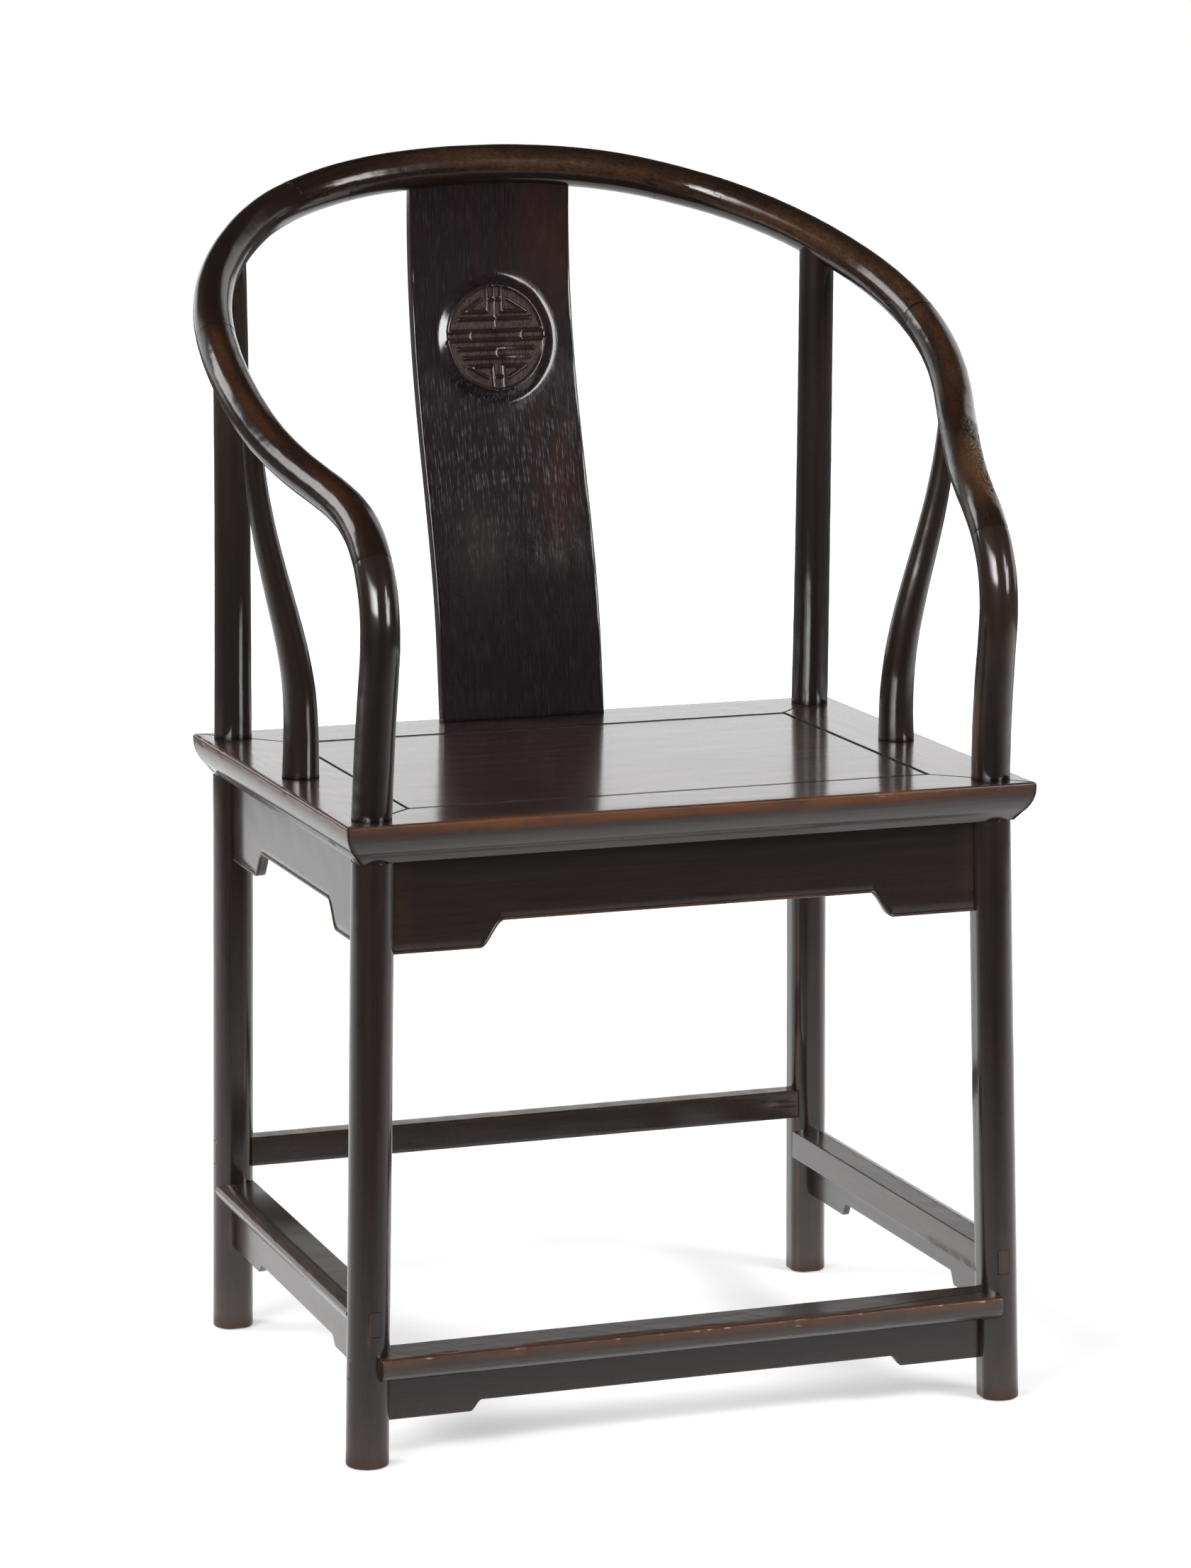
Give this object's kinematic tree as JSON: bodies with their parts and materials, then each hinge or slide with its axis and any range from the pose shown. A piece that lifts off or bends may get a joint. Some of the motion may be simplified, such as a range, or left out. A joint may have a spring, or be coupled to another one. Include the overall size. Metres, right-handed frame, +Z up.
{
  "type": "horseshoe back armchair",
  "caption": "Wooden armchair with a continuous horseshoe crest rail, carved splat, framed panel seat, splayed legs and stepped stretchers.",
  "frame": {"origin": "on the floor, under the middle of the chair's bounding box", "axes": "+Z up, the front faces -Y, +X to the right of someone who looks at the front"},
  "size_m": [0.6403, 0.5388, 0.989],
  "materials": {
    "dark_hardwood": "semi-gloss, worn at the edges"
  },
  "bodies": {
    "root": {"apron_front": "dark_hardwood", "apron_left": "dark_hardwood", "apron_rear": "dark_hardwood", "apron_right": "dark_hardwood", "back_splat": "dark_hardwood", "crest_pin_back_left": "dark_hardwood", "crest_pin_back_right": "dark_hardwood", "crest_pin_side_left": "dark_hardwood", "crest_pin_side_right": "dark_hardwood", "crest_rail_arm_left": "dark_hardwood", "crest_rail_arm_right": "dark_hardwood", "crest_rail_back_left": "dark_hardwood", "crest_rail_back_right": "dark_hardwood", "crest_rail_center": "dark_hardwood", "front_leg_left": "dark_hardwood", "front_leg_right": "dark_hardwood", "rear_leg_left": "dark_hardwood", "rear_leg_right": "dark_hardwood", "seat_batten_left": "dark_hardwood", "seat_batten_right": "dark_hardwood", "seat_panel": "dark_hardwood", "seat_rail_front": "dark_hardwood", "seat_rail_left": "dark_hardwood", "seat_rail_rear": "dark_hardwood", "seat_rail_right": "dark_hardwood", "side_post_left": "dark_hardwood", "side_post_right": "dark_hardwood", "stretcher_apron_front": "dark_hardwood", "stretcher_apron_left": "dark_hardwood", "stretcher_apron_right": "dark_hardwood", "stretcher_front": "dark_hardwood", "stretcher_left": "dark_hardwood", "stretcher_rear": "dark_hardwood", "stretcher_right": "dark_hardwood"}
  },
  "joints": []
}
